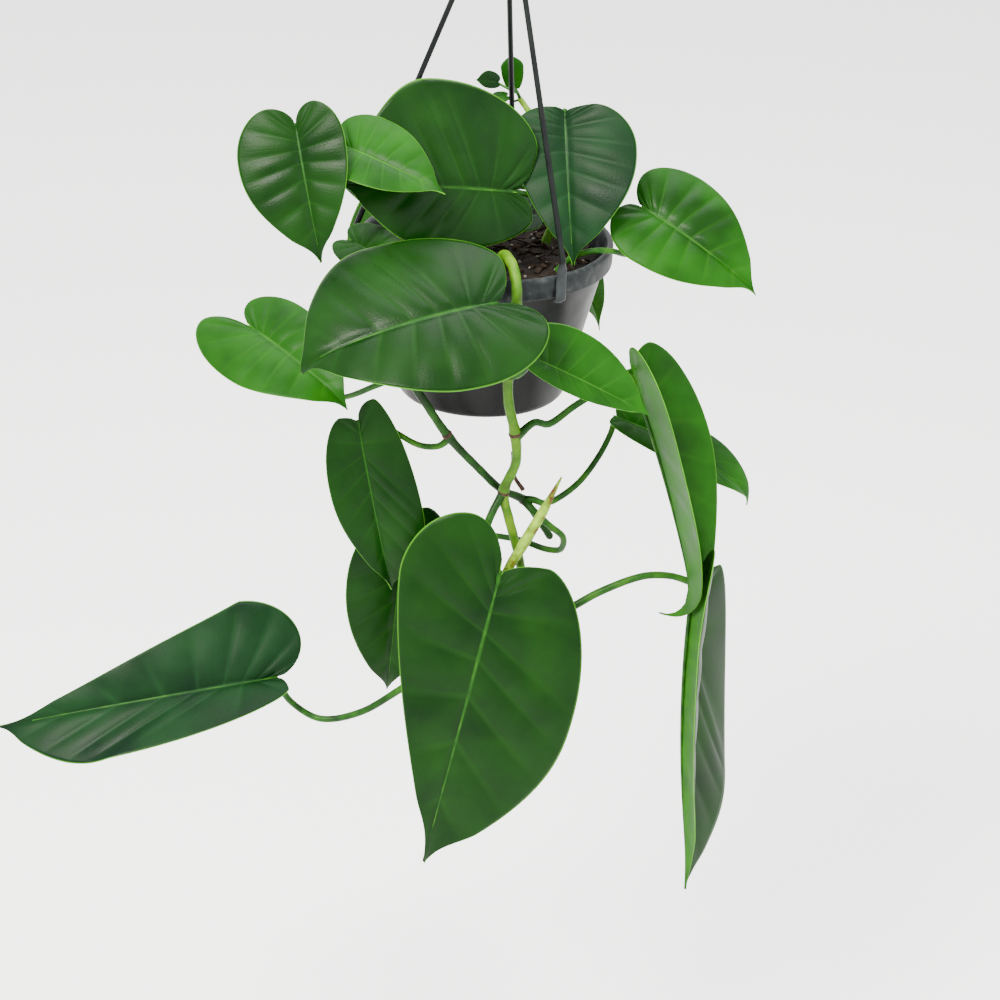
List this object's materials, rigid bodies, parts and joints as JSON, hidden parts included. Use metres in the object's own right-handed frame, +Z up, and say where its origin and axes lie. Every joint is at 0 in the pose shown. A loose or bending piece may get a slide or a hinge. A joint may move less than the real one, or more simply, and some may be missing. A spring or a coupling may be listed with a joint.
{
  "type": "potted plant",
  "caption": "Trailing heart-leaf houseplant in a round black nursery pot, hung from an open hook by thin clip-on straps.",
  "frame": {"origin": "the point at the top of the hook's inside where it bears on whatever the pot hangs from", "axes": "+Z up, -Y towards the viewer of the front view, +X to that viewer's right"},
  "size_m": [0.4264, 0.241, 0.6377],
  "materials": {
    "black_plastic": "satin moulded",
    "potting_mix": "loose and rough",
    "leaf_green": "waxy",
    "stem_green": "smooth",
    "aerial_root_brown": "matte"
  },
  "bodies": {
    "root": {"pot": "black_plastic", "soil": "potting_mix", "hanger_hook": "black_plastic", "strap_front": "black_plastic", "strap_left": "black_plastic", "strap_back": "black_plastic", "vine_main": "stem_green", "vine_left": "stem_green", "vine_crown_left": "stem_green", "vine_crown_right": "stem_green", "vine_back": "stem_green", "petiole_top_left": "stem_green", "petiole_top_left_small": "stem_green", "petiole_top_centre": "stem_green", "petiole_top_right": "stem_green", "petiole_far_right": "stem_green", "petiole_front_upper": "stem_green", "petiole_left": "stem_green", "petiole_right_front": "stem_green", "petiole_back_right": "stem_green", "petiole_back_left": "stem_green", "petiole_right_folded": "stem_green", "petiole_right_behind": "stem_green", "petiole_lowest_right": "stem_green", "petiole_front_lower": "stem_green", "petiole_mid_left": "stem_green", "petiole_mid_left_behind": "stem_green", "petiole_far_left": "stem_green", "petiole_crown_left": "stem_green", "petiole_crown_shaded": "stem_green", "petiole_young_round": "stem_green", "petiole_young_dark": "stem_green", "petiole_young_light": "stem_green", "rolled_leaf": "stem_green", "leaf_top_left": "leaf_green", "leaf_top_left_small": "leaf_green", "leaf_top_centre": "leaf_green", "leaf_top_right": "leaf_green", "leaf_far_right": "leaf_green", "leaf_front_upper": "leaf_green", "leaf_left": "leaf_green", "leaf_right_front": "leaf_green", "leaf_back_right": "leaf_green", "leaf_back_left": "leaf_green", "leaf_right_folded": "leaf_green", "leaf_right_behind": "leaf_green", "leaf_lowest_right": "leaf_green", "leaf_front_lower": "leaf_green", "leaf_mid_left": "leaf_green", "leaf_mid_left_behind": "leaf_green", "leaf_far_left": "leaf_green", "leaf_crown_left": "leaf_green", "leaf_crown_shaded": "leaf_green", "young_leaf_round": "leaf_green", "young_leaf_dark": "leaf_green", "young_leaf_light": "leaf_green", "aerial_root": "aerial_root_brown"}
  },
  "joints": []
}
